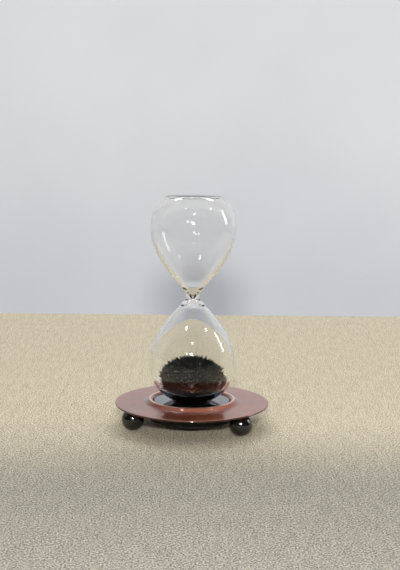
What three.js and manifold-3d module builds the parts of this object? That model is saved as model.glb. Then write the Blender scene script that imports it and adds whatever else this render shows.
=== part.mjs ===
// A magnetic hourglass: one blown glass vessel of iron filings, standing on a magnet base.
// The base is a spun copper plate on three ball feet. A black housing fills the hole in the
// plate, holds a disc magnet under the glass and is closed by a screwed cover.
// Millimetres, +Z up. The origin is on the table, on the axis of the plate and the glass.

import * as THREE from 'three';
import { mergeVertices } from 'three/addons/utils/BufferGeometryUtils.js';
import Module from 'manifold-3d';

const wasm = await Module();
wasm.setup();

// Driving dimensions
const GAP = 0.3;                    // clearance between neighbouring pieces
const PLATE_RADIUS = 50;
const PLATE_UNDERSIDE = 14.5;
const SHEET = 1.2;                  // thickness of the copper sheet
const BEAD_RADIUS = 2.4;            // raised bead round the hole, half round in section
const BEAD_CIRCLE = 27.25;          // radius of the bead's centre line
const BEAD_FILLET = 2.3;            // how far the bead's outer fillet runs out on the plate
const SEAT_TOP = 16.8;              // black face that the glass stands on
const SEAT_RADIUS = 24.5;
const SEAT_EDGE_ROUND = 0.5;
const FLANGE_RADIUS = 31.5;         // housing flange, bonded under the plate
const FLANGE_THICKNESS = 1.5;
const SKIRT_RADIUS = 28.5;
const SKIRT_WALL = 2;
const HOUSING_BOTTOM = 5.2;
const CEILING = 14.8;               // underside of the seat, over the magnet
const COVER_THICKNESS = 1.8;
const BOSS_RADIUS = 2.6;
const BOSS_CIRCLE = 23.1;
const BOSS_TOP = 13.7;
const SCREW_HOLE_RADIUS = 1.15;
const SCREW_HOLE_TOP = 13.3;
const SCREW_RADIUS = 0.95;
const SCREW_HEAD_RADIUS = 2.1;
const SCREW_HEAD_HEIGHT = 1.15;
const SCREW_HEAD_RECESS = 0.1;
const SCREW_TIP = 12.4;
const SCREW_CLEARANCE = 0.2;        // between a screw and its hole in the cover
const SLOT_WIDTH = 0.5;
const SLOT_DEPTH = 0.5;
const MAGNET_RADIUS = 20;
const BALL_RADIUS = 7.2;
const BALL_CENTRE = 7.1;            // a little under the radius: the ball rests on a small flat
const FOOT_CIRCLE = 40.25;
const FIRST_FOOT_ANGLE = 50.5;      // degrees from the front, towards +X
const STUD_RADIUS = 1.45;
const STUD_BOTTOM = 6;
const WELD_GAP = 0.1;               // where each stud's weld to the plate is
const GLASS_BOTTOM = 16.9;
const GLASS_TOP = 150.3;
const GLASS_FOOT_RADIUS = 11.6;     // flat that the glass stands on
const GLASS_CROWN_RADIUS = 16.2;    // flat at the other end
const FOOT_WALL = 2.2;              // glass thickness at the foot flat
const CROWN_WALL = 1.3;             // glass thickness at the crown flat
const LOWER_BELLY = new THREE.Vector2(27.3, 42.3);
const UPPER_BELLY = new THREE.Vector2(27.5, 128);
const SIDE_WALL = 1.5;              // glass thickness at both bellies
const NECK_RADIUS = 4.65;
const NECK_HEIGHT = 83.5;
const ORIFICE_RADIUS = 0.9;
const ORIFICE_LENGTH = 1.6;
const FILL_HOLE_RADIUS = 2.6;
const PLUG_RECESS = 0.1;
const HEAP_FOOT_RADIUS = 10.6;
const HEAP_WAIST = 32.5;            // height at which the heap is widest
const HEAP_RADIUS = 20.4;
const HEAP_TOP = 45.2;

const PLATE_TOP = PLATE_UNDERSIDE + SHEET;
const COVER_TOP = HOUSING_BOTTOM + COVER_THICKNESS;
const TRIPLE = [0, 1, 2];

// A closed solid of revolution about Z. Each curve of the profile is cut into the given
// number of steps. Its faces point outwards whichever way round the profile was drawn.
function turned(profile, steps, segments) {
  const points = profile.getPoints(steps);
  if (THREE.ShapeUtils.isClockWise(points)) {
    points.reverse();
  }
  const geometry = new THREE.LatheGeometry(points, segments);
  geometry.rotateX(Math.PI / 2);
  return geometry;
}

// The start of a profile whose points are (radius, height).
function profileFrom(radius, height) {
  const profile = new THREE.Path();
  profile.moveTo(radius, height);
  return profile;
}

function toSolid(geometry) {
  const bare = geometry.clone();
  bare.deleteAttribute('normal');
  bare.deleteAttribute('uv');
  const merged = mergeVertices(bare, 1e-4);
  const vertProperties = new Float32Array(merged.attributes.position.array);
  const triVerts = new Uint32Array(merged.index.array);
  return new wasm.Manifold(new wasm.Mesh({ numProp: 3, vertProperties, triVerts }));
}

function toGeometry(solid) {
  const mesh = solid.getMesh();
  const geometry = new THREE.BufferGeometry();
  geometry.setAttribute('position', new THREE.BufferAttribute(mesh.vertProperties, 3));
  geometry.setIndex(new THREE.BufferAttribute(mesh.triVerts, 1));
  geometry.computeVertexNormals();
  return geometry;
}

// An upright cylinder between two heights.
function post(radius, bottom, top, segments) {
  const geometry = new THREE.CylinderGeometry(radius, radius, top - bottom, segments);
  geometry.rotateX(Math.PI / 2);
  geometry.translate(0, 0, (top + bottom) / 2);
  return geometry;
}

// The place of one of three items spread evenly on a circle, from the front towards +X.
function spread(item, circle, firstAngle) {
  const angle = THREE.MathUtils.degToRad(firstAngle + 120 * item);
  return new THREE.Vector3(circle * Math.sin(angle), -circle * Math.cos(angle), 0);
}

const finishes = {
  copper: { color: 0x9c6a5a, roughness: 0.3, metalness: 0.9 },
  glossBlack: { color: 0x0c0c0e, roughness: 0.06, metalness: 0 },
  charcoal: { color: 0x26262a, roughness: 0.2, metalness: 0.6 },
  ferrite: { color: 0x3a3a3c, roughness: 0.75, metalness: 0.1 },
  steel: { color: 0xa8a8aa, roughness: 0.35, metalness: 1 },
  mattBlack: { color: 0x1a1a1a, roughness: 0.85, metalness: 0 },
  glass: { color: 0xe8ecec, roughness: 0.02, metalness: 0, transparent: true, opacity: 0.35 },
  filings: { color: 0x0e0e10, roughness: 0.6, metalness: 0.4 },
  silicone: { color: 0xd8d8d4, roughness: 0.5, metalness: 0 },
};

function piece(name, geometry, finish) {
  const mesh = new THREE.Mesh(geometry, new THREE.MeshStandardMaterial(finishes[finish]));
  mesh.name = name;
  return mesh;
}

// Copper sheet with a round edge and a hollow half-round bead turned up round its hole.
function copperPlate() {
  const innerEdge = BEAD_CIRCLE - BEAD_RADIUS;
  const hollow = BEAD_RADIUS - SHEET;
  const shoulder = Math.PI / 4;
  const shoulderRadius = BEAD_CIRCLE + BEAD_RADIUS * Math.cos(shoulder);
  const shoulderRise = BEAD_RADIUS * Math.sin(shoulder);
  const filletEnd = shoulderRadius + BEAD_FILLET;
  const rim = PLATE_RADIUS - SHEET / 2;
  const lip = PLATE_UNDERSIDE + GAP;
  const profile = profileFrom(innerEdge, lip);
  profile.lineTo(innerEdge, PLATE_TOP);
  profile.absarc(BEAD_CIRCLE, PLATE_TOP, BEAD_RADIUS, Math.PI, shoulder, true);
  profile.quadraticCurveTo(shoulderRadius + shoulderRise, PLATE_TOP, filletEnd, PLATE_TOP);
  profile.lineTo(rim, PLATE_TOP);
  profile.absarc(rim, PLATE_TOP - SHEET / 2, SHEET / 2, Math.PI / 2, -Math.PI / 2, true);
  profile.lineTo(BEAD_CIRCLE + hollow, PLATE_UNDERSIDE);
  profile.absarc(BEAD_CIRCLE, PLATE_TOP, hollow, 0, Math.PI, false);
  profile.lineTo(BEAD_CIRCLE - hollow, lip);
  profile.lineTo(innerEdge, lip);
  return piece('copper_plate', turned(profile, 3, 48), 'copper');
}

// Upturned black cup: seat face, flange under the plate, skirt, and bosses for the screws.
function seatHousing() {
  const flangeTop = PLATE_UNDERSIDE - GAP;
  const flangeBottom = flangeTop - FLANGE_THICKNESS;
  const inside = SKIRT_RADIUS - SKIRT_WALL;
  const roundStart = SEAT_RADIUS - SEAT_EDGE_ROUND;
  const profile = profileFrom(0, SEAT_TOP);
  profile.lineTo(roundStart, SEAT_TOP);
  profile.absarc(roundStart, SEAT_TOP - SEAT_EDGE_ROUND, SEAT_EDGE_ROUND, Math.PI / 2, 0, true);
  profile.lineTo(SEAT_RADIUS, flangeTop);
  profile.lineTo(FLANGE_RADIUS, flangeTop);
  profile.lineTo(FLANGE_RADIUS, flangeBottom);
  profile.lineTo(SKIRT_RADIUS, flangeBottom);
  profile.lineTo(SKIRT_RADIUS, HOUSING_BOTTOM);
  profile.lineTo(inside, HOUSING_BOTTOM);
  profile.lineTo(inside, flangeBottom);
  profile.lineTo(SEAT_RADIUS - SKIRT_WALL, flangeBottom);
  profile.lineTo(SEAT_RADIUS - SKIRT_WALL, CEILING);
  profile.lineTo(0, CEILING);
  let solid = toSolid(turned(profile, 1, 36));
  for (const item of TRIPLE) {
    const place = spread(item, BOSS_CIRCLE, 0).toArray();
    const boss = toSolid(post(BOSS_RADIUS, COVER_TOP + GAP, BOSS_TOP, 12)).translate(place);
    const hole = toSolid(post(SCREW_HOLE_RADIUS, COVER_TOP, SCREW_HOLE_TOP, 10)).translate(place);
    solid = solid.add(boss).subtract(hole);
  }
  return piece('seat_housing', toGeometry(solid), 'glossBlack');
}

function magnetDisc() {
  const geometry = post(MAGNET_RADIUS, COVER_TOP + GAP, CEILING - GAP, 36);
  return piece('magnet_disc', geometry, 'ferrite');
}

// A countersunk screw, head down, or the hole that it sits in when grown by the clearance.
function screwShape(grow) {
  const headBottom = HOUSING_BOTTOM + SCREW_HEAD_RECESS - grow;
  const shankStart = headBottom + SCREW_HEAD_HEIGHT;
  const profile = profileFrom(0, headBottom);
  profile.lineTo(SCREW_HEAD_RADIUS + grow, headBottom);
  profile.lineTo(SCREW_RADIUS + grow, shankStart);
  profile.lineTo(SCREW_RADIUS + grow, SCREW_TIP);
  profile.lineTo(0, SCREW_TIP);
  return toSolid(turned(profile, 1, 12));
}

function baseCover() {
  const radius = SKIRT_RADIUS - SKIRT_WALL - GAP;
  let solid = toSolid(post(radius, HOUSING_BOTTOM, COVER_TOP, 36));
  for (const item of TRIPLE) {
    const place = spread(item, BOSS_CIRCLE, 0).toArray();
    solid = solid.subtract(screwShape(SCREW_CLEARANCE).translate(place));
  }
  return piece('base_cover', toGeometry(solid), 'mattBlack');
}

// Countersunk screw with a straight driver slot across its head.
function coverScrew(item) {
  const slot = new THREE.BoxGeometry(SCREW_HEAD_RADIUS * 3, SLOT_WIDTH, 2 * SLOT_DEPTH);
  slot.translate(0, 0, HOUSING_BOTTOM);
  const slotted = screwShape(0).subtract(toSolid(slot));
  const screw = piece(`cover_screw_${item + 1}`, toGeometry(slotted), 'steel');
  screw.position.copy(spread(item, BOSS_CIRCLE, 0));
  return screw;
}

// Ball with a small flat that it rests on and a blind hole down from its top for the stud.
function ballFoot(item) {
  const boreRadius = STUD_RADIUS + GAP;
  const flatAngle = -Math.asin(BALL_CENTRE / BALL_RADIUS);
  const boreAngle = Math.acos(boreRadius / BALL_RADIUS);
  const boreBottom = STUD_BOTTOM - GAP;
  const profile = profileFrom(0, 0);
  profile.lineTo(BALL_RADIUS * Math.cos(flatAngle), 0);
  profile.absarc(0, BALL_CENTRE, BALL_RADIUS, flatAngle, boreAngle, false);
  profile.lineTo(boreRadius, boreBottom);
  profile.lineTo(0, boreBottom);
  const foot = piece(`ball_foot_${item + 1}`, turned(profile, 5, 16), 'charcoal');
  foot.position.copy(spread(item, FOOT_CIRCLE, FIRST_FOOT_ANGLE));
  return foot;
}

// Stud welded under the plate, which the ball foot is screwed on to.
function footStud(item) {
  const geometry = post(STUD_RADIUS, STUD_BOTTOM, PLATE_UNDERSIDE - WELD_GAP, 12);
  const stud = piece(`foot_stud_${item + 1}`, geometry, 'steel');
  stud.position.copy(spread(item, FOOT_CIRCLE, FIRST_FOOT_ANGLE));
  return stud;
}

// Outside of the glass, from the middle of its upper flat down to its fill hole. A curve's
// six numbers are its two control points and its end, each as radius and height.
function traceOutside(profile) {
  profile.lineTo(GLASS_CROWN_RADIUS, GLASS_TOP);
  profile.bezierCurveTo(21.6, 147.6, UPPER_BELLY.x, 141, UPPER_BELLY.x, UPPER_BELLY.y);
  profile.bezierCurveTo(UPPER_BELLY.x, 114.8, 17.2, 102.3, 9.3, 93.1);
  profile.bezierCurveTo(7.8, 91.4, NECK_RADIUS, 89.5, NECK_RADIUS, NECK_HEIGHT);
  profile.bezierCurveTo(NECK_RADIUS, 82.3, 6.5, 81.3, 8, 79.7);
  profile.bezierCurveTo(19.9, 66.4, LOWER_BELLY.x, 56, LOWER_BELLY.x, LOWER_BELLY.y);
  profile.bezierCurveTo(LOWER_BELLY.x, 28.2, 22.6, 21.8, GLASS_FOOT_RADIUS, GLASS_BOTTOM);
  profile.lineTo(FILL_HOLE_RADIUS, GLASS_BOTTOM);
}

// Inside of the glass, from its fill hole up to the middle of its upper flat. The glass is
// thick at the neck, where each bulb narrows through a small funnel to the orifice.
function traceInside(profile) {
  const lowerInside = LOWER_BELLY.x - SIDE_WALL;
  const upperInside = UPPER_BELLY.x - SIDE_WALL;
  const floor = GLASS_BOTTOM + FOOT_WALL;
  const ceiling = GLASS_TOP - CROWN_WALL;
  const halfOrifice = ORIFICE_LENGTH / 2;
  profile.lineTo(FILL_HOLE_RADIUS, floor);
  profile.lineTo(11, floor);
  profile.bezierCurveTo(21.4, 23.4, lowerInside, 29.2, lowerInside, LOWER_BELLY.y);
  profile.bezierCurveTo(lowerInside, 55.4, 18.8, 64.9, 8.4, 76.2);
  profile.bezierCurveTo(6.6, 77.6, 4.6, 77.8, 3.2, 79.2);
  profile.lineTo(ORIFICE_RADIUS, NECK_HEIGHT - halfOrifice);
  profile.lineTo(ORIFICE_RADIUS, NECK_HEIGHT + halfOrifice);
  profile.lineTo(3.4, 89.6);
  profile.bezierCurveTo(4.4, 91.6, 6.8, 92.4, 8.6, 94.6);
  profile.bezierCurveTo(15.8, 103.2, upperInside, 115.4, upperInside, UPPER_BELLY.y);
  profile.bezierCurveTo(upperInside, 140.1, 20.6, 146.2, 15.6, ceiling);
  profile.lineTo(0, ceiling);
}

function glassVessel() {
  const profile = profileFrom(0, GLASS_TOP);
  traceOutside(profile);
  traceInside(profile);
  return piece('glass_vessel', turned(profile, 4, 32), 'glass');
}

// Plug that closes the fill hole in the flat that the glass stands on.
function fillPlug() {
  const bottom = GLASS_BOTTOM + PLUG_RECESS;
  const geometry = post(FILL_HOLE_RADIUS - GAP, bottom, GLASS_BOTTOM + FOOT_WALL, 16);
  return piece('fill_plug', geometry, 'silicone');
}

// The filings as one rounded heap, drawn together over the magnet.
function ironFilings() {
  const bottom = GLASS_BOTTOM + FOOT_WALL + GAP;
  const profile = profileFrom(0, bottom);
  profile.lineTo(HEAP_FOOT_RADIUS, bottom);
  profile.bezierCurveTo(17, 21.6, HEAP_RADIUS, 26.4, HEAP_RADIUS, HEAP_WAIST);
  profile.bezierCurveTo(HEAP_RADIUS, 38.5, 12, HEAP_TOP - 0.4, 0, HEAP_TOP);
  return piece('iron_filings', turned(profile, 4, 20), 'filings');
}

const base = new THREE.Group();
base.add(copperPlate(), seatHousing(), magnetDisc(), baseCover());
for (const item of TRIPLE) {
  base.add(coverScrew(item), ballFoot(item), footStud(item));
}

const glass = new THREE.Group();
glass.add(glassVessel(), fillPlug(), ironFilings());

const group = new THREE.Group();
group.add(base, glass);

export default group;
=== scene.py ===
"""Magnetic hourglass on a copper plate: the visual model, its materials and a plain studio.

Metres throughout, in the frame's own axes. MM turns millimetres into metres.
"""

import math
import random

import bmesh
import bpy
from mathutils import Matrix, Vector, noise


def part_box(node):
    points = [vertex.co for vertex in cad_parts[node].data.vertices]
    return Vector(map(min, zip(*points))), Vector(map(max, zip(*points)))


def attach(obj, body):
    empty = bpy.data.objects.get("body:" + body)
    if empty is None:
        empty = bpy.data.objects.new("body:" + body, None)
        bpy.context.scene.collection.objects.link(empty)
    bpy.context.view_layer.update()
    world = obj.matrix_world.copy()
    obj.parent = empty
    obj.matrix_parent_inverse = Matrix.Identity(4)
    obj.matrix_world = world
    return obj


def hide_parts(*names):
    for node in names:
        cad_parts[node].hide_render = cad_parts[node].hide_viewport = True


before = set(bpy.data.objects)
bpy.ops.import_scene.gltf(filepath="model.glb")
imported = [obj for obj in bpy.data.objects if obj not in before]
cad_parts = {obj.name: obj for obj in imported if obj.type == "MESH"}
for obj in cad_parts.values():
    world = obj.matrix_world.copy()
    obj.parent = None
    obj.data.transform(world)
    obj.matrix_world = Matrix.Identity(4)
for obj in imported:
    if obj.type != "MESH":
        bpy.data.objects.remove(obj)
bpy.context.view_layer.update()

MM = 0.001
UP = Vector((0, 0, 1))


# ---------------------------------------------------------------- places, from the frame

plate_low, plate_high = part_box("copper_plate")
housing_low, housing_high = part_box("seat_housing")
cover_low, cover_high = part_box("base_cover")
glass_low, glass_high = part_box("glass_vessel")
plug_low, plug_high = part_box("fill_plug")
heap_low, heap_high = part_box("iron_filings")

PLATE_RADIUS = plate_high.x
PLATE_UNDERSIDE = plate_low.z
BEAD_CREST = plate_high.z
SHEET = 1.2 * MM
PLATE_TOP = PLATE_UNDERSIDE + SHEET
BEAD_RADIUS = BEAD_CREST - PLATE_TOP - 0.04 * MM
BEAD_CIRCLE = 27.25 * MM
SEAT_TOP = housing_high.z
SEAT_RADIUS = 24.6 * MM
FLANGE_RADIUS = housing_high.x
SKIRT_RADIUS = 28.5 * MM
HOUSING_BOTTOM = housing_low.z
GLASS_BOTTOM = glass_low.z
GLASS_TOP = glass_high.z
UPPER_BELLY_RADIUS = glass_high.x
LOWER_BELLY_RADIUS = 27.3 * MM
SIDE_WALL = 1.35 * MM
FOOT_WALL = 2.2 * MM
FILL_HOLE_RADIUS = 2.6 * MM
HEAP_RADIUS = heap_high.x
HEAP_TOP = heap_high.z
TRIPLE = (1, 2, 3)


def centre_of(node):
    """Middle of a CAD node's box, at the height of its underside."""
    low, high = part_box(node)
    return Vector(((low.x + high.x) / 2, (low.y + high.y) / 2, low.z))


def upright_axis_of(node):
    """Where a CAD node's upright axis meets the table."""
    place = centre_of(node)
    return Vector((place.x, place.y, 0))


def smooth(value, low, high):
    """0 below the low value, 1 above the high one, and eased between them."""
    t = min(1, max(0, (value - low) / (high - low)))
    return t * t * (3 - 2 * t)


def toward(azimuth, elevation):
    """The direction at two angles in radians: round from +X, and up from level."""
    level = math.cos(elevation)
    return Vector((level * math.cos(azimuth), level * math.sin(azimuth), math.sin(elevation)))


# ---------------------------------------------------------------- outlines and meshes


class Outline:
    """Points of a turned profile, as (radius, height), drawn from lines, arcs and curves."""

    def __init__(self, radius, height):
        self.points = [(radius, height)]

    def line(self, radius, height):
        self.points.append((radius, height))
        return self

    def arc(self, centre, size, start, end, steps=10):
        """Round the centre, between two angles in degrees from the outward direction."""
        for step in range(steps + 1):
            angle = math.radians(start + (end - start) * step / steps)
            point = (centre[0] + size * math.cos(angle), centre[1] + size * math.sin(angle))
            if math.dist(point, self.points[-1]) > 1e-7:
                self.points.append(point)
        return self

    def curve(self, first, second, end, steps=24):
        """A cubic Bezier curve from the last point."""
        start = self.points[-1]
        for step in range(1, steps + 1):
            t = step / steps
            weights = ((1 - t) ** 3, 3 * t * (1 - t) ** 2, 3 * t * t * (1 - t), t ** 3)
            corners = (start, first, second, end)
            self.points.append(tuple(sum(w * c[k] for w, c in zip(weights, corners)) for k in (0, 1)))
        return self


def piece_from(name, mesh, material):
    piece = bpy.data.objects.new(name, mesh)
    bpy.context.scene.collection.objects.link(piece)
    mesh.materials.append(material)
    return piece


def mesh_from(name, builder):
    mesh = bpy.data.meshes.new(name)
    builder.to_mesh(mesh)
    builder.free()
    return mesh


def shade(mesh, sharp):
    """Smooth shading, except across edges sharper than this many degrees."""
    mesh.shade_smooth()
    mesh.set_sharp_from_angle(angle=math.radians(sharp))


def row_of_vertices(builder, radius, height, segments):
    """Vertices round the axis at one radius and height, or a single one on the axis."""
    if radius < 1e-7:
        return [builder.verts.new((0, 0, height))]
    angles = [2 * math.pi * step / segments for step in range(segments)]
    return [builder.verts.new((radius * math.cos(a), radius * math.sin(a), height)) for a in angles]


def join_rows(builder, rows, segments, ring=False):
    """Faces between neighbouring rows of vertices, and from the last to the first for a ring."""
    pairs = list(zip(rows, rows[1:]))
    if ring:
        pairs.append((rows[-1], rows[0]))
    for lower, upper in pairs:
        for step in range(segments):
            ahead = (step + 1) % segments
            corners = [lower[step % len(lower)], lower[ahead % len(lower)]]
            corners += [upper[ahead % len(upper)], upper[step % len(upper)]]
            corners = [c for k, c in enumerate(corners) if c not in corners[:k]]
            if len(corners) > 2:
                builder.faces.new(corners)


def turn(name, outline, material, segments=160, sharp=32, ring=False, shape=None):
    """A closed solid of revolution about Z. shape, if given, moves each of its points."""
    builder = bmesh.new()
    rows = [row_of_vertices(builder, radius, height, segments) for radius, height in outline.points]
    join_rows(builder, rows, segments, ring)
    bmesh.ops.recalc_face_normals(builder, faces=builder.faces)
    if shape:
        for vertex in builder.verts:
            vertex.co = shape(vertex.co)
    mesh = mesh_from(name, builder)
    shade(mesh, sharp)
    return piece_from(name, mesh, material)


def cut(piece, tools):
    """Cuts the tool objects out of a piece, and removes them."""
    for tool in tools:
        modifier = piece.modifiers.new("cut", "BOOLEAN")
        modifier.operation = "DIFFERENCE"
        modifier.solver = "EXACT"
        modifier.object = tool
    graph = bpy.context.evaluated_depsgraph_get()
    mesh = bpy.data.meshes.new_from_object(piece.evaluated_get(graph))
    piece.modifiers.clear()
    piece.data = mesh
    for tool in tools:
        bpy.data.objects.remove(tool)
    shade(mesh, 30)
    return piece


def moved(piece, place):
    """Puts a piece's mesh at a place, as CAD nodes have theirs."""
    piece.data.transform(Matrix.Translation(place))
    return piece


# ---------------------------------------------------------------- node materials


class Shader:
    """A node material round one Principled shader, with short helpers for its nodes."""

    def __init__(self, name, **settings):
        self.material = bpy.data.materials.new(name)
        self.material.use_nodes = True
        self.tree = self.material.node_tree
        self.principled = next(n for n in self.tree.nodes if n.type == "BSDF_PRINCIPLED")
        for socket, value in settings.items():
            self.principled.inputs[socket.replace("_", " ")].default_value = value
        self.coordinates = self.tree.nodes.new("ShaderNodeTexCoord").outputs["Object"]

    def node(self, kind, links=(), **settings):
        node = self.tree.nodes.new("ShaderNode" + kind)
        for name, value in settings.items():
            setattr(node, name, value)
        for socket, value in dict(links).items():
            if isinstance(value, bpy.types.NodeSocket):
                self.tree.links.new(value, node.inputs[socket])
            else:
                node.inputs[socket].default_value = value
        return node

    def noise(self, scale, detail=4, rough=0.5, vector=None):
        links = {"Vector": vector or self.coordinates, "Scale": scale, "Detail": detail, "Roughness": rough}
        return self.node("TexNoise", links).outputs["Fac"]

    def ramp(self, value, *stops):
        """A colour ramp whose stops are (position, colour or grey level)."""
        node = self.node("ValToRGB", {"Fac": value})
        elements = node.color_ramp.elements
        for index, (position, colour) in enumerate(stops):
            element = elements[index] if index < 2 else elements.new(position)
            element.position = position
            grey = isinstance(colour, (int, float))
            element.color = (colour, colour, colour, 1) if grey else (*colour, 1)
        return node.outputs["Color"]

    def remap(self, value, source, target=(0.0, 1.0), curve="LINEAR"):
        """A value carried from one range to another, and held at its ends."""
        links = {"Value": value, "From Min": source[0], "From Max": source[1]}
        links.update({"To Min": target[0], "To Max": target[1]})
        return self.node("MapRange", links, interpolation_type=curve).outputs["Result"]

    def spread(self, value, low, high):
        """A 0 to 1 value spread over another range."""
        return self.remap(value, (0.0, 1.0), (low, high))

    def math(self, operation, first, second):
        return self.node("Math", {0: first, 1: second}, operation=operation).outputs[0]

    def mix(self, factor, first, second):
        """From the first colour at factor 0 to the second at 1."""
        links = {0: factor}
        for socket, colour in ((6, first), (7, second)):
            links[socket] = colour if isinstance(colour, bpy.types.NodeSocket) else (*colour, 1)
        return self.node("Mix", links, data_type="RGBA").outputs[2]

    def radius(self):
        """Distance from the object's upright axis, in metres."""
        flat = self.node("VectorMath", {0: self.coordinates, 1: (1, 1, 0)}, operation="MULTIPLY")
        return self.node("VectorMath", {0: flat.outputs[0]}, operation="LENGTH").outputs["Value"]

    def height(self):
        return self.node("SeparateXYZ", {0: self.coordinates}).outputs["Z"]

    def band(self, value, middle, width):
        """1 where the value is at the middle, falling to 0 at half the width either side."""
        away = self.math("ABSOLUTE", self.math("SUBTRACT", value, middle), 0.0)
        return self.remap(away, (0.0, width / 2), (1.0, 0.0), "SMOOTHSTEP")

    def stretched(self, along):
        """The object's coordinates with one axis scaled, for streaks and brushing."""
        return self.node("Mapping", {"Vector": self.coordinates, "Scale": along}).outputs["Vector"]

    def bump(self, height, distance, strength=1.0, after=None):
        links = {"Height": height, "Distance": distance, "Strength": strength}
        if after is not None:
            links["Normal"] = after
        return self.node("Bump", links).outputs["Normal"]

    def use(self, **sockets):
        for name, value in sockets.items():
            self.tree.links.new(value, self.principled.inputs[name.replace("_", " ")])
        return self.material


def copper_colour(s, radius, wear_and_highlight):
    """Brown patina; the bead's crest bright with wear and a painted highlight, painted shade in the groove
    round the bead, and dark at the rim.
    """
    browns = ((0.3, (0.18, 0.038, 0.014)), (0.52, (0.27, 0.065, 0.024)), (0.75, (0.36, 0.1, 0.045)))
    patina = s.ramp(s.noise(28, 5, 0.55), *browns)
    # Painted highlight, with wear: the bead's crest is painted bright.
    colour = s.mix(wear_and_highlight, patina, (0.85, 0.58, 0.48))
    # Painted shade: a dark band in the groove round the bead.
    groove = s.band(radius, BEAD_CIRCLE + 3.3 * MM, 1.6 * MM)
    colour = s.mix(s.math("MULTIPLY", groove, 0.45), colour, (0.04, 0.018, 0.012))
    edge = s.band(radius, PLATE_RADIUS, 0.8 * MM)
    return s.mix(edge, colour, (0.03, 0.014, 0.01))


def copper_material():
    """Antique copper under clear lacquer, with the fine rings of spinning and a few scratches."""
    s = Shader("copper", Metallic=0.9, Coat_Weight=1.0, Coat_Roughness=0.02, Coat_IOR=1.62)
    radius = s.radius()
    # The bead's crest: worn, so rougher, and painted bright as a highlight.
    crest = s.band(radius, BEAD_CIRCLE, 2.6 * MM)
    wear_and_highlight = s.math("MULTIPLY", crest, s.spread(s.noise(160, 3), 0.5, 1.0))
    outward = {"W": s.math("MULTIPLY", radius, 2600.0), "Scale": 1.0}
    rings = s.node("TexNoise", outward, noise_dimensions="1D").outputs["Fac"]
    scratches = s.noise(420, 2, 0.4, s.stretched((1, 0.07, 1)))
    rough = s.math("ADD", s.spread(s.noise(60, 4), 0.36, 0.5), s.spread(rings, -0.03, 0.03))
    rough = s.math("ADD", rough, s.math("MULTIPLY", wear_and_highlight, 0.15))
    normal = s.bump(rings, 0.004 * MM)
    normal = s.bump(scratches, 0.006 * MM, 0.5, normal)
    normal = s.bump(s.noise(45, 2), 0.1 * MM, 0.35, normal)
    return s.use(Base_Color=copper_colour(s, radius, wear_and_highlight), Roughness=rough, Normal=normal)


def ball_material():
    """Black plated balls: dark, glossy, a little hazy, with faint smears and fine dust."""
    s = Shader("black_balls", Metallic=1.0)
    smear = s.noise(90, 5, 0.6)
    dust = s.ramp(s.noise(2000, 2, 0.7), (0.66, 0.0), (0.74, 1.0))
    tint = s.mix(s.spread(smear, 0.0, 1.0), (0.068, 0.068, 0.07), (0.1, 0.1, 0.103))
    tint = s.mix(s.math("MULTIPLY", dust, 0.12), tint, (0.4, 0.4, 0.4))
    rough = s.math("ADD", s.spread(smear, 0.1, 0.2), s.math("MULTIPLY", dust, 0.12))
    return s.use(Base_Color=tint, Roughness=rough, Normal=s.bump(s.noise(60, 2), 0.02 * MM, 0.3))


def seat_material():
    """Black chrome on the polished seat; the flange and skirt below are finely grained and bare."""
    s = Shader("black_chrome")
    border = (PLATE_UNDERSIDE - 0.2 * MM, PLATE_UNDERSIDE + 0.2 * MM)
    plated = s.remap(s.height(), border)
    dust = s.math("MULTIPLY", s.ramp(s.noise(1300, 2, 0.7), (0.68, 0.0), (0.76, 1.0)), 0.2)
    chrome = s.mix(dust, (0.23, 0.24, 0.28), (0.5, 0.5, 0.5))
    colour = s.mix(plated, (0.006, 0.006, 0.006), chrome)
    grain = s.spread(s.noise(1200, 2), 0.6, 0.8)
    polish = s.math("ADD", s.spread(s.noise(60, 5, 0.6), 0.015, 0.045), dust)
    rough = s.spread(plated, grain, polish)
    normal = s.bump(s.noise(60, 2), 0.02 * MM, 0.2)
    return s.use(Base_Color=colour, Metallic=plated, Roughness=rough, Normal=normal)


def glass_material():
    """Clear blown glass with the faint ripples that blowing leaves."""
    s = Shader("clear_glass", Transmission_Weight=1.0, IOR=1.45, Base_Color=(0.996, 1, 0.996, 1))
    rough = s.spread(s.noise(120, 2), 0.0, 0.012)
    ripple = s.bump(s.noise(32, 1.5, 0.4), 0.12 * MM, 0.25)
    return s.use(Roughness=rough, Normal=ripple)


def filings_material():
    """Black iron filings: dull, with the odd glint."""
    s = Shader("iron_filings", Specular_IOR_Level=0.25)
    grain = s.noise(900, 2, 0.6)
    blacks = ((0.35, (0.005, 0.005, 0.005)), (0.62, (0.013, 0.013, 0.014)), (0.8, (0.04, 0.04, 0.041)))
    colour = s.ramp(grain, *blacks)
    metal = s.ramp(grain, (0.62, 0.0), (0.72, 0.8))
    rough = s.spread(grain, 0.5, 0.8)
    return s.use(Base_Color=colour, Metallic=metal, Roughness=rough, Normal=s.bump(grain, 0.2 * MM, 0.8))


def cover_material():
    """Fine-grained black moulding."""
    s = Shader("cover_grain", Specular_IOR_Level=0.4)
    grain = s.noise(1400, 2, 0.6)
    colour = s.ramp(s.noise(70, 4), (0.3, (0.012, 0.012, 0.012)), (0.7, (0.024, 0.024, 0.025)))
    normal = s.bump(grain, 0.06 * MM, 0.6)
    return s.use(Base_Color=colour, Roughness=s.spread(grain, 0.62, 0.85), Normal=normal)


def zinc_material():
    """Zinc-plated steel, a little blotched."""
    s = Shader("zinc_steel", Metallic=1.0)
    blotch = s.noise(380, 4, 0.6)
    colour = s.ramp(blotch, (0.3, (0.42, 0.42, 0.4)), (0.7, (0.62, 0.63, 0.64)))
    normal = s.bump(blotch, 0.02 * MM, 0.4)
    return s.use(Base_Color=colour, Roughness=s.spread(blotch, 0.24, 0.45), Normal=normal)


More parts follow.
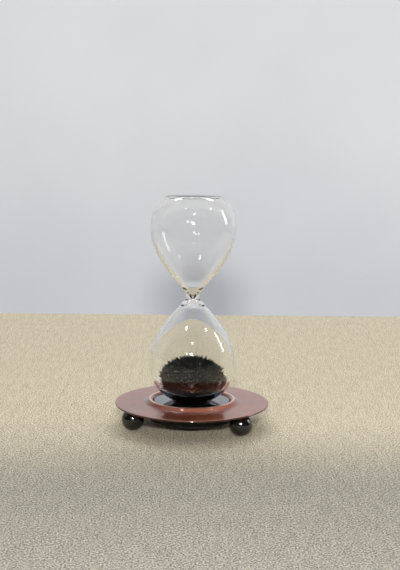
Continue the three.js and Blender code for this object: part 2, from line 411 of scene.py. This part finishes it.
def ferrite_material():
    """Ground ferrite: dark grey, dull and slightly porous."""
    s = Shader("ferrite", Metallic=0.1)
    pores = s.noise(1100, 3, 0.7)
    colour = s.ramp(pores, (0.35, (0.03, 0.03, 0.032)), (0.6, (0.075, 0.075, 0.08)))
    normal = s.bump(pores, 0.05 * MM, 0.6)
    return s.use(Base_Color=colour, Roughness=s.spread(pores, 0.6, 0.85), Normal=normal)


def silicone_material():
    """Milky silicone of the fill plug."""
    s = Shader("silicone", Subsurface_Weight=0.2, Subsurface_Scale=0.5 * MM)
    haze = s.noise(300, 3)
    colour = s.ramp(haze, (0.3, (0.62, 0.62, 0.58)), (0.7, (0.75, 0.75, 0.71)))
    normal = s.bump(haze, 0.03 * MM, 0.4)
    return s.use(Base_Color=colour, Roughness=s.spread(haze, 0.35, 0.5), Normal=normal)


# ---------------------------------------------------------------- the base


FOOT_PLACES = [centre_of(f"ball_foot_{foot}") for foot in TRIPLE]
WAVE_HEIGHT = 0.08 * MM
DENT_DEPTH = 0.2 * MM
DENT_RADIUS = 2.4 * MM


def plate_shape(point):
    """The spun sheet's real surface: it is a little wavy, and dented over each welded stud."""
    radius = math.hypot(point.x, point.y)
    flat = min(1, max(0, (radius - 32 * MM) / (8 * MM)))
    lift = noise.noise(point * 22) * WAVE_HEIGHT * flat
    for foot in FOOT_PLACES:
        away = math.hypot(point.x - foot.x, point.y - foot.y)
        lift -= DENT_DEPTH * math.exp(-((away / DENT_RADIUS) ** 2))
    return point + UP * lift


def level_steps(outline, start, end, height, steps=24):
    """Points along a level stretch of a profile, close enough together for it to bend."""
    for step in range(1, steps):
        outline.line(start + (end - start) * step / steps, height)


def copper_plate(material):
    """Spun sheet with a half-round bead round its hole, a filleted foot and a rolled rim."""
    inner = BEAD_CIRCLE - BEAD_RADIUS
    hollow = BEAD_RADIUS - SHEET
    # The bead's slope leaves its half round at 45 degrees, and meets the flat in a fillet.
    eighth = BEAD_RADIUS * math.cos(math.pi / 4)
    foot = BEAD_CIRCLE + 2 * eighth
    flat_start = foot + 0.9 * MM
    rim = PLATE_RADIUS - SHEET / 2
    lip = PLATE_UNDERSIDE + 0.3 * MM
    outline = Outline(inner, lip)
    outline.line(inner, PLATE_TOP)
    outline.arc((BEAD_CIRCLE, PLATE_TOP), BEAD_RADIUS, 180, 45, 24)
    fillet = (foot - 0.9 * MM, PLATE_TOP + 0.5 * MM), (foot - 0.3 * MM, PLATE_TOP), (flat_start, PLATE_TOP)
    outline.curve(*fillet, steps=10)
    level_steps(outline, flat_start, rim, PLATE_TOP)
    outline.arc((rim, PLATE_TOP - SHEET / 2), SHEET / 2, 90, -90, 12)
    level_steps(outline, rim, BEAD_CIRCLE + hollow, PLATE_UNDERSIDE)
    outline.line(BEAD_CIRCLE + hollow, PLATE_UNDERSIDE)
    outline.arc((BEAD_CIRCLE, PLATE_TOP), hollow, 0, 180, 14)
    outline.line(BEAD_CIRCLE - hollow, lip)
    return turn("plate", outline, material, segments=288, ring=True, shape=plate_shape)


def seat_housing(material):
    """Moulding in three steps with eased edges: mirror seat, flange and skirt. It is open below."""
    flange_top = PLATE_UNDERSIDE - 0.3 * MM
    flange_bottom = flange_top - 1.5 * MM
    wall = 2 * MM
    ease = 0.35 * MM
    outline = Outline(0, SEAT_TOP)
    outline.line(SEAT_RADIUS / 2, SEAT_TOP)
    outline.line(SEAT_RADIUS - ease, SEAT_TOP)
    outline.arc((SEAT_RADIUS - ease, SEAT_TOP - ease), ease, 90, 0, 8)
    outline.line(SEAT_RADIUS, flange_top)
    outline.line(FLANGE_RADIUS - ease, flange_top)
    outline.arc((FLANGE_RADIUS - ease, flange_top - ease), ease, 90, 0, 6)
    outline.arc((FLANGE_RADIUS - ease, flange_bottom + ease), ease, 0, -90, 6)
    outline.line(SKIRT_RADIUS + ease, flange_bottom)
    outline.arc((SKIRT_RADIUS + ease, flange_bottom - ease), ease, 90, 180, 6)
    outline.line(SKIRT_RADIUS, HOUSING_BOTTOM + ease)
    outline.arc((SKIRT_RADIUS - ease, HOUSING_BOTTOM + ease), ease, 0, -90, 6)
    outline.line(SKIRT_RADIUS - wall, HOUSING_BOTTOM)
    outline.line(SKIRT_RADIUS - wall, flange_bottom)
    outline.line(SEAT_RADIUS - wall, flange_bottom)
    outline.line(SEAT_RADIUS - wall, SEAT_TOP - wall)
    outline.line(0, SEAT_TOP - wall)
    return turn("seat", outline, material, segments=224)


def countersink(number, material):
    """The shape of a screw's hole in the cover, a little longer than the hole at both ends."""
    low = cover_low.z - 0.2 * MM
    high = cover_high.z + 0.5 * MM
    bore = 1.2 * MM
    hole = Outline(0, low)
    hole.line(2.5 * MM, low).line(bore, cover_low.z + 1.2 * MM)
    hole.line(bore, high).line(0, high)
    place = upright_axis_of(f"cover_screw_{number}")
    return moved(turn("tool", hole, material, segments=40), place)


def base_cover(material):
    """Cover disc with an eased edge, a shallow round groove and three countersunk holes."""
    radius = SKIRT_RADIUS - 2.3 * MM
    ease = 0.3 * MM
    groove = 14 * MM
    outline = Outline(0, cover_high.z)
    outline.line(radius, cover_high.z)
    outline.line(radius, cover_low.z + ease)
    outline.arc((radius - ease, cover_low.z + ease), ease, 0, -90, 5)
    outline.line(groove + 0.8 * MM, cover_low.z)
    outline.arc((groove, cover_low.z), 0.5 * MM, 0, 180, 8)
    outline.line(groove - 0.8 * MM, cover_low.z)
    outline.line(0, cover_low.z)
    cover = turn("cover", outline, material, segments=160)
    return cut(cover, [countersink(number, material) for number in TRIPLE])


def driver_slot(height, degrees, material):
    """The shape of a screw's straight slot, at a height and turned by an angle."""
    builder = bmesh.new()
    size = Matrix.Diagonal((5 * MM, 0.5 * MM, 1.0 * MM, 1))
    bmesh.ops.create_cube(builder, size=1, matrix=Matrix.Translation((0, 0, height)) @ size)
    tool = piece_from("slot", mesh_from("slot", builder), material)
    tool.data.transform(Matrix.Rotation(math.radians(degrees), 4, "Z"))
    return tool


def add_thread(outline, start, pitch, turns, middle_radius, end_radius):
    """A thread as a stack of ridges, going up. Two radii alternate: mid-turn and at its end."""
    for ridge in range(turns):
        height = start + (ridge + 0.5) * pitch
        outline.line(middle_radius, height).line(end_radius, height + pitch / 2)


def cover_screw(number, material):
    """Countersunk screw: flat head with an eased rim and a slot, and a threaded shank."""
    head = cover_low.z + 0.1 * MM
    neck = head + 1.15 * MM
    outline = Outline(0, head)
    outline.line(1.6 * MM, head).line(2.08 * MM, head + 0.12 * MM).line(0.95 * MM, neck)
    add_thread(outline, neck, 0.45 * MM, 13, 0.78 * MM, 0.98 * MM)
    outline.line(0, neck + 6.1 * MM)
    screw = turn(f"screw_{number}", outline, material, segments=48, sharp=25)
    slotted = cut(screw, [driver_slot(head, 35 + 70 * number, material)])
    return moved(slotted, upright_axis_of(f"cover_screw_{number}"))


def ball_foot(number, material):
    """Turned ball with a small resting flat, an eased mouth and a blind hole for its stud."""
    low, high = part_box(f"ball_foot_{number}")
    radius = (high.x - low.x) / 2
    middle = 7.1 * MM
    mouth = 2.3 * MM
    bore = 1.75 * MM
    bore_end = 5.7 * MM
    start = -math.degrees(math.asin(middle / radius))
    end = math.degrees(math.acos(mouth / radius))
    outline = Outline(0, 0)
    outline.arc((0, middle), radius, start, end, 90)
    outline.line(mouth - 0.2 * MM, high.z - 0.14 * MM)
    outline.line(bore, high.z - 0.2 * MM)
    outline.line(bore, bore_end)
    outline.line(0, bore_end)
    foot = turn(f"foot_{number}", outline, material, segments=128)
    return moved(foot, upright_axis_of(f"ball_foot_{number}"))


def foot_stud(number, material):
    """Threaded stud, with the weld's flat collar under the plate."""
    bottom = centre_of(f"foot_stud_{number}").z
    top = PLATE_UNDERSIDE - 0.16 * MM
    outline = Outline(0, bottom)
    outline.line(1.1 * MM, bottom)
    add_thread(outline, bottom, 0.5 * MM, 15, 1.45 * MM, 1.25 * MM)
    outline.line(1.3 * MM, top - 0.3 * MM).line(2.2 * MM, top - 0.22 * MM)
    outline.line(2.4 * MM, top).line(0, top)
    stud = turn(f"stud_{number}", outline, material, segments=40, sharp=20)
    return moved(stud, upright_axis_of(f"foot_stud_{number}"))


# ---------------------------------------------------------------- the glass


NECK_RADIUS = 4.65 * MM
NECK_HEIGHT = 83.5 * MM
ORIFICE_RADIUS = 0.8 * MM
LOWER_SHOULDER = 77.4 * MM
UPPER_SHOULDER = 93.6 * MM


def blown(point):
    """Blown glass is never quite round: it sways and swells by a tenth of a millimetre or two."""
    radius = math.hypot(point.x, point.y)
    if radius < 1e-6:
        return point
    share = min(1, radius / (20 * MM))
    swell = noise.noise(Vector((point.x * 30, point.y * 30, point.z * 22))) * 0.22 * MM * share
    scale = 1 + swell / radius
    return Vector((point.x * scale, point.y * scale, point.z))


def upper_bulb():
    """Outer face of the upper bulb, from the edge of its crown down to the neck."""
    belly = UPPER_BELLY_RADIUS - 0.1 * MM
    outline = Outline(17.2 * MM, GLASS_TOP - 0.85 * MM)
    outline.curve((22.4 * MM, GLASS_TOP - 3.6 * MM), (belly, GLASS_TOP - 9.8 * MM), (belly, 128 * MM), 40)
    outline.curve((belly, 114.8 * MM), (17.2 * MM, 102.3 * MM), (9.3 * MM, 93.1 * MM), 48)
    return outline.points


def lower_bulb():
    """Outer face of the lower bulb, from the neck down to the edge of its foot."""
    belly = LOWER_BELLY_RADIUS
    outline = Outline(8 * MM, 79.7 * MM)
    outline.curve((19.9 * MM, 66.4 * MM), (belly, 56 * MM), (belly, 42.3 * MM), 48)
    outline.curve((belly, 28.2 * MM), (22.6 * MM, 21.8 * MM), (12.1 * MM, GLASS_BOTTOM + 0.22 * MM), 40)
    return outline.points


def inner_face(outer):
    """An outer face, bottom end first, moved in by a wall that thickens towards the foot."""
    inner = []
    for index, (radius, height) in enumerate(outer):
        before, after = outer[max(0, index - 1)], outer[min(len(outer) - 1, index + 1)]
        along = Vector((after[0] - before[0], after[1] - before[1])).normalized()
        near_foot = 1 - smooth(height, GLASS_BOTTOM, GLASS_BOTTOM + 9 * MM)
        wall = SIDE_WALL + (FOOT_WALL - SIDE_WALL) * near_foot
        inner.append((radius + along.y * wall, height - along.x * wall))
    return inner[::-1]


def trace_outside(outline):
    """Outer face of the glass: domed crown, upper bulb, neck, lower bulb and foot flat."""
    shoulder = (15 * MM, GLASS_TOP - 0.4 * MM)
    outline.curve((6 * MM, GLASS_TOP), (11 * MM, GLASS_TOP - 0.15 * MM), shoulder, 16)
    edge = (15.9 * MM, GLASS_TOP - 0.46 * MM), (16.6 * MM, GLASS_TOP - 0.6 * MM), upper_bulb()[0]
    outline.curve(*edge, steps=8)
    outline.points += upper_bulb()[1:]
    outline.curve((7.8 * MM, 91.4 * MM), (NECK_RADIUS, 89.5 * MM), (NECK_RADIUS, NECK_HEIGHT), 20)
    outline.curve((NECK_RADIUS, 82.3 * MM), (6.5 * MM, 81.3 * MM), lower_bulb()[0], 12)
    outline.points += lower_bulb()[1:]
    rounding = (11.8 * MM, GLASS_BOTTOM + 0.07 * MM), (11.6 * MM, GLASS_BOTTOM), (11.2 * MM, GLASS_BOTTOM)
    outline.curve(*rounding, steps=4)
    outline.line(FILL_HOLE_RADIUS, GLASS_BOTTOM)


def lower_inside():
    """Inner face of the lower bulb, from the edge of its floor up to its shoulder."""
    return [point for point in inner_face(lower_bulb()) if point[1] < LOWER_SHOULDER]


def upper_inside():
    """Inner face of the upper bulb, from its shoulder up to the edge of the crown."""
    return [point for point in inner_face(upper_bulb()) if point[1] > UPPER_SHOULDER]


def trace_inside(outline):
    """Inner face, up from the fill hole. Each bulb ends in a small funnel at the thick neck."""
    outline.line(FILL_HOLE_RADIUS, lower_inside()[0][1])
    outline.points += lower_inside()
    outline.curve((7.7 * MM, 78.2 * MM), (6.6 * MM, 78.8 * MM), (5.2 * MM, 79.6 * MM), 14)
    outline.curve((3.8 * MM, 80.5 * MM), (1.2 * MM, 82.3 * MM), (ORIFICE_RADIUS, 83.4 * MM), 14)
    outline.curve((ORIFICE_RADIUS, 84.6 * MM), (3 * MM, 87.2 * MM), (4.4 * MM, 89.5 * MM), 12)
    upper = upper_inside()
    outline.curve((5.2 * MM, 90.8 * MM), (6.8 * MM, 91.9 * MM), upper[0], 14)
    outline.points += upper[1:]
    ceiling = GLASS_TOP - SIDE_WALL
    outline.curve((16.3 * MM, ceiling - 0.1 * MM), (16 * MM, ceiling), (15.4 * MM, ceiling), 5)
    outline.line(7 * MM, ceiling).line(0, ceiling)


def glass_vessel(material):
    """One blown piece: an outer and an inner face that meet at the fill hole."""
    outline = Outline(0, GLASS_TOP)
    trace_outside(outline)
    trace_inside(outline)
    return turn("glass", outline, material, segments=192, sharp=40, shape=blown)


def fill_plug(material):
    """Silicone plug with eased ends and two small ribs."""
    radius = FILL_HOLE_RADIUS - 0.25 * MM
    ease = 0.2 * MM
    low, high = plug_low.z, plug_high.z
    outline = Outline(0, low)
    outline.line(radius - ease, low).line(radius, low + ease)
    for rib in (0.35, 0.65):
        middle = low + (high - low) * rib
        outline.line(radius, middle - ease).line(radius + 0.12 * MM, middle)
        outline.line(radius, middle + ease)
    outline.line(radius, high - ease).line(radius - ease, high).line(0, high)
    return turn("plug", outline, material, segments=64)


# ---------------------------------------------------------------- the iron filings


HEAP_MIDDLE = Vector((0, 0, 30 * MM))
MAGNET_POLE = Vector((0, 0, 6 * MM))
WALL_CLEARANCE = 0.45 * MM
# Needles from large to small: how many tufts, needles in each, lengths and widths in millimetres.
TUFTS = (
    (520, 4, (2.4, 4.0), (0.75, 1.1)),
    (1500, 2, (1.4, 2.4), (0.3, 0.5)),
    (4000, 1, (0.8, 1.6), (0.12, 0.22)),
)


def profile_reach(points, elevation):
    """How far a ray from the heap's middle, at this elevation, runs to an outline."""
    direction = (math.cos(elevation), math.sin(elevation))
    best = None
    for (r1, z1), (r2, z2) in zip(points, points[1:]):
        z1, z2 = z1 - HEAP_MIDDLE.z, z2 - HEAP_MIDDLE.z
        side1 = r1 * direction[1] - z1 * direction[0]
        side2 = r2 * direction[1] - z2 * direction[0]
        if side1 * side2 > 0 or side1 == side2:
            continue
        t = side1 / (side1 - side2)
        reach = (r1 + (r2 - r1) * t) * direction[0] + (z1 + (z2 - z1) * t) * direction[1]
        if reach > 0 and (best is None or reach < best):
            best = reach
    return best


def heap_outline():
    """Side view of the free-standing part of the heap."""
    outline = Outline(0, heap_low.z)
    outline.line(12.5 * MM, heap_low.z)
    outline.curve((17.5 * MM, 22 * MM), (HEAP_RADIUS, 27 * MM), (HEAP_RADIUS, 33 * MM), 16)
    outline.curve((HEAP_RADIUS, 38.5 * MM), (11 * MM, HEAP_TOP - 1 * MM), (0, HEAP_TOP - 0.6 * MM), 20)
    return outline.points


def wall_outline():
    """Inside of the lower bulb, closed across its floor and its neck."""
    floor = lower_inside()[0][1]
    return [(0, floor)] + lower_inside() + [(0, 80 * MM)]


class Heap:
    """The heap's surface as a distance from its middle in every direction."""

    ROWS = 360

    def __init__(self):
        self.free = self.table(heap_outline())
        self.wall = self.table(wall_outline())

    def table(self, points):
        """How far an outline is from the heap's middle, at each of the rows' elevations."""
        angles = [math.pi * (row / self.ROWS - 0.5) for row in range(self.ROWS + 1)]
        angles[0] += 1e-4
        angles[-1] -= 1e-4
        return [profile_reach(points, angle) for angle in angles]

    def look_up(self, table, elevation):
        place = (elevation / math.pi + 0.5) * self.ROWS
        row = min(self.ROWS - 1, max(0, int(place)))
        return table[row] + (table[row + 1] - table[row]) * (place - row)

    def limit(self, direction):
        """Distance to the glass, less a clearance."""
        elevation = math.asin(max(-1, min(1, direction.z)))
        return self.look_up(self.wall, elevation) - WALL_CLEARANCE

    def spill(self, direction, elevation):
        """1 where the filings lie against the glass: low down, and higher on one side."""
        azimuth = math.degrees(math.atan2(direction.y, direction.x))
        side = smooth(math.cos(math.radians(azimuth + 12)), -0.1, 0.8)
        shelf = math.radians(-44 + 43 * side)
        wobble = noise.noise(direction * 5) * math.radians(5)
        return 1 - smooth(elevation, shelf + wobble, shelf + wobble + math.radians(6))

    def reach(self, direction):
        """Distance to the heap's surface, lumps and all."""
        elevation = math.asin(max(-1, min(1, direction.z)))
        free = self.look_up(self.free, elevation)
        wall = self.limit(direction)
        reach = free + (wall - free) * self.spill(direction, elevation)
        lumps = noise.noise(direction * 11) * 0.7 + noise.noise(direction * 23) * 0.6
        reach += (lumps * 1.1 - 1.2) * MM
        return min(reach, wall)


def heap_core(builder, heap, rings=120, segments=240):
    """The lumpy body of the heap, as a closed skin."""
    rows = []
    for ring in range(rings + 1):
        elevation = math.pi * (ring / rings - 0.5)
        count = 1 if ring in (0, rings) else segments
        row = []
        for step in range(count):
            direction = toward(2 * math.pi * step / segments, elevation)
            row.append(builder.verts.new(HEAP_MIDDLE + direction * heap.reach(direction)))
        rows.append(row)
    join_rows(builder, rows, segments)


def add_spike(builder, root, direction, length, width, sides=4):
    """One needle: a thin closed pyramid, its base sunk into the heap."""
    across = direction.orthogonal().normalized()
    along = direction.cross(across)
    base = root - direction * (length * 0.35)
    corners = []
    for side in range(sides):
        angle = 2 * math.pi * side / sides
        corners.append(builder.verts.new(base + (across * math.cos(angle) + along * math.sin(angle)) * width))
    tip = builder.verts.new(root + direction * length)
    for side in range(sides):
        builder.faces.new((corners[side], corners[(side + 1) % sides], tip))
    builder.faces.new(corners[::-1])


def fitted_length(heap, root, heading, length):
    """A needle's length, shortened until its tip clears the glass, or 0 if it never does."""
    while length > 0.2 * MM:
        tip = root + heading * length - HEAP_MIDDLE
        if tip.length < heap.limit(tip.normalized()):
            return length
        length *= 0.6
    return 0


def add_tufts(builder, heap, dice, count, needles, lengths, widths):
    """Tufts of needles scattered over the heap, standing along the magnet's field."""
    for _ in range(count):
        elevation = math.asin(dice.uniform(-0.75, 1))
        direction = toward(dice.uniform(0, 2 * math.pi), elevation)
        root = HEAP_MIDDLE + direction * (heap.reach(direction) - 0.2 * MM)
        field = (direction * 0.8 + (root - MAGNET_POLE).normalized() * 0.4).normalized()
        for needle in range(needles):
            lean = Vector([dice.gauss(0, 0.12 + 0.12 * min(1, needle)) for _ in range(3)])
            heading = (field + lean).normalized()
            length = dice.uniform(*lengths) * MM * (1 if needle == 0 else 0.7)
            width = dice.uniform(*widths) * MM * (1 if needle == 0 else 0.6)
            length = fitted_length(heap, root, heading, length)
            if length:
                add_spike(builder, root, heading, length, width)


def iron_filings(material):
    """The heap drawn together by the magnet: a lumpy body bristling with needles."""
    heap = Heap()
    dice = random.Random(11)
    builder = bmesh.new()
    heap_core(builder, heap)
    for count, needles, lengths, widths in TUFTS:
        add_tufts(builder, heap, dice, count, needles, lengths, widths)
    bmesh.ops.recalc_face_normals(builder, faces=builder.faces)
    return piece_from("filings", mesh_from("filings", builder), material)


# ---------------------------------------------------------------- the studio


# Metres, degrees, and the lens in millimetres on a 36 mm sensor.
CAMERA_DISTANCE = 0.701
CAMERA_HEIGHT = 0.1891
CAMERA_LENS = 69.44
CAMERA_TURN = 0.37
CAMERA_TILT = 7.86
CAMERA_ROLL = 0.61
TABLE_NEAR_EDGE = -0.25
TABLE_FAR_EDGE = 0.438
WALL_DISTANCE = 0.66
WALL_GLOW = 0.37
# The room's light grows in this direction, behind and above the object.
TOWARD_GLOW = (0, 1, 0.9)
LIGHT_TARGET = Vector((0, 0, 0.08))
# Small lamps round the room: azimuth and elevation in degrees, and power in watts.
LAMPS = ((0, 40, 1.5), (-17, 19, 0.5), (-6, 19, 0.5), (-36, 58, 1.5), (69, 49, 1.5))


def place_camera():
    """Camera in front, a little higher than the glass, looking slightly down."""
    turn_angle, tilt, roll = (math.radians(a) for a in (CAMERA_TURN, CAMERA_TILT, CAMERA_ROLL))
    ahead = toward(math.pi / 2 - turn_angle, -tilt)
    right = Vector((math.cos(turn_angle), -math.sin(turn_angle), 0))
    above = right.cross(ahead)
    rolled_right = right * math.cos(roll) + above * math.sin(roll)
    rolled_up = above * math.cos(roll) - right * math.sin(roll)
    data = bpy.data.cameras.new("camera")
    data.sensor_width = 36
    data.lens = CAMERA_LENS
    data.clip_start = 0.01
    data.clip_end = 50
    camera = bpy.data.objects.new("camera", data)
    axes = Matrix((rolled_right, rolled_up, -ahead)).transposed().to_4x4()
    camera.matrix_world = Matrix.Translation((0, -CAMERA_DISTANCE, CAMERA_HEIGHT)) @ axes
    bpy.context.scene.collection.objects.link(camera)
    bpy.context.scene.camera = camera


def sheet_between(name, corners, material):
    """A flat part of the set between four corners."""
    mesh = bpy.data.meshes.new(name)
    mesh.from_pydata(corners, [], [(0, 1, 2, 3)])
    sheet = piece_from(name, mesh, material)
    return sheet


def table_material():
    """Pale woven cloth, with painted shade that makes it darker and greyer towards the front."""
    s = Shader("table", Roughness=0.9, Specular_IOR_Level=0.1)
    knots = s.noise(1100, 1, 0.5, s.stretched((1, 0.7, 1)))
    warp = s.noise(260, 2, 0.6, s.stretched((1, 0.2, 1)))
    weave = s.math("ADD", s.math("MULTIPLY", knots, 0.88), s.math("MULTIPLY", warp, 0.12))
    thread = s.ramp(weave, (0.34, (0.17, 0.152, 0.112)), (0.66, (0.64, 0.57, 0.428)))
    depth = s.node("SeparateXYZ", {0: s.coordinates}).outputs["Y"]
    # Painted shade: the cloth darkens and greys towards the front.
    back = s.remap(depth, (-0.14, 0.02), curve="SMOOTHSTEP")
    painted_front_shade = s.mix(back, (0.53, 0.56, 0.63), (1.0, 1.0, 1.0))
    colour = s.node("VectorMath", {0: thread, 1: painted_front_shade}, operation="MULTIPLY").outputs[0]
    return s.use(Base_Color=colour)


def wall_material():
    """Pale, faintly mottled wall with a little light of its own."""
    glow = {"Emission_Color": (0.6, 0.62, 0.67, 1), "Emission_Strength": WALL_GLOW}
    s = Shader("wall", Roughness=1.0, Specular_IOR_Level=0.0, **glow)
    mottle = s.noise(3, 3, 0.5)
    return s.use(Base_Color=s.ramp(mottle, (0.3, (0.6, 0.615, 0.65)), (0.7, (0.7, 0.715, 0.745))))


def studio_set():
    """Pale table with a straight near edge, and a paler wall behind it."""
    near, far, back = TABLE_NEAR_EDGE, TABLE_FAR_EDGE, WALL_DISTANCE
    sheet_between("table", [(-3, near, 0), (3, near, 0), (3, far, 0), (-3, far, 0)], table_material())
    corners = [(-5, back, -2), (5, back, -2), (5, back, 4), (-5, back, 4)]
    wall = sheet_between("wall", corners, wall_material())
    wall.visible_shadow = False


def area_light(name, azimuth, elevation, distance, size, power, colour=(1, 1, 1)):
    """A flat light facing the object, its size given as (across, up).

    Azimuth is from the front towards +X, and both angles are in degrees.
    """
    data = bpy.data.lights.new(name, "AREA")
    data.shape = "RECTANGLE"
    data.size, data.size_y = size
    data.energy = power
    data.color = colour
    light = bpy.data.objects.new(name, data)
    away = toward(math.radians(azimuth - 90), math.radians(elevation))
    light.location = LIGHT_TARGET + away * distance
    light.rotation_mode = "QUATERNION"
    light.rotation_quaternion = away.to_track_quat("Z", "Y")
    bpy.context.scene.collection.objects.link(light)
    return light


def room():
    """Light from all round: bright above and behind, dim in front."""
    world = bpy.data.worlds.new("room")
    world.use_nodes = True
    tree = world.node_tree
    background = tree.nodes["Background"]
    background.inputs["Color"].default_value = (1, 0.98, 0.95, 1)
    share = tree.nodes.new("ShaderNodeVectorMath")
    share.operation = "DOT_PRODUCT"
    share.inputs[1].default_value = TOWARD_GLOW
    tree.links.new(tree.nodes.new("ShaderNodeTexCoord").outputs["Generated"], share.inputs[0])
    glow = tree.nodes.new("ShaderNodeMapRange")
    glow.interpolation_type = "SMOOTHSTEP"
    tree.links.new(share.outputs["Value"], glow.inputs["Value"])
    for name, value in {"From Min": 0.05, "From Max": 0.6, "To Min": 0.07, "To Max": 0.75}.items():
        glow.inputs[name].default_value = value
    tree.links.new(glow.outputs["Result"], background.inputs["Strength"])
    bpy.context.scene.world = world


def light_studio():
    """A small key by the camera, a broad light overhead, a side window, a tube and a few lamps."""
    room()
    area_light("key", -0.6, 16.5, 0.73, (0.055, 0.045), 5.8, (1, 0.985, 0.96))
    overhead = area_light("overhead", 180, 50, 1.7, (1.6, 0.9), 17.5)
    overhead.visible_glossy = False
    overhead.visible_transmission = False
    area_light("window", 100, 20, 1.3, (0.08, 0.6), 3)
    area_light("tube", 180, 60, 1.1, (1.0, 0.09), 3.2)
    for number, (azimuth, elevation, power) in enumerate(LAMPS):
        area_light(f"lamp_{number}", azimuth, elevation, 1.6, (0.11, 0.11), power)
    bpy.context.scene.view_settings.view_transform = "Standard"


# ---------------------------------------------------------------- everything together


def finish_piece(piece, body, slot, *nodes):
    """Puts a piece on its body, in place of the CAD nodes. The slot is not used."""
    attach(piece, body)
    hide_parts(*nodes)


def build_base():
    balls = ball_material()
    zinc = zinc_material()
    finish_piece(copper_plate(copper_material()), "base", "copper", "copper_plate")
    finish_piece(seat_housing(seat_material()), "base", "seat_black", "seat_housing")
    finish_piece(base_cover(cover_material()), "base", "cover", "base_cover")
    for number in TRIPLE:
        finish_piece(ball_foot(number, balls), "base", "feet", f"ball_foot_{number}")
        finish_piece(foot_stud(number, zinc), "base", "steel", f"foot_stud_{number}")
        finish_piece(cover_screw(number, zinc), "base", "steel", f"cover_screw_{number}")
    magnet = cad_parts["magnet_disc"]
    magnet.data.materials.clear()
    magnet.data.materials.append(ferrite_material())


def build_glass():
    finish_piece(glass_vessel(glass_material()), "glass", "glass", "glass_vessel")
    finish_piece(fill_plug(silicone_material()), "glass", "plug", "fill_plug")
    finish_piece(iron_filings(filings_material()), "glass", "filings", "iron_filings")


place_camera()
studio_set()
light_studio()
build_base()
build_glass()
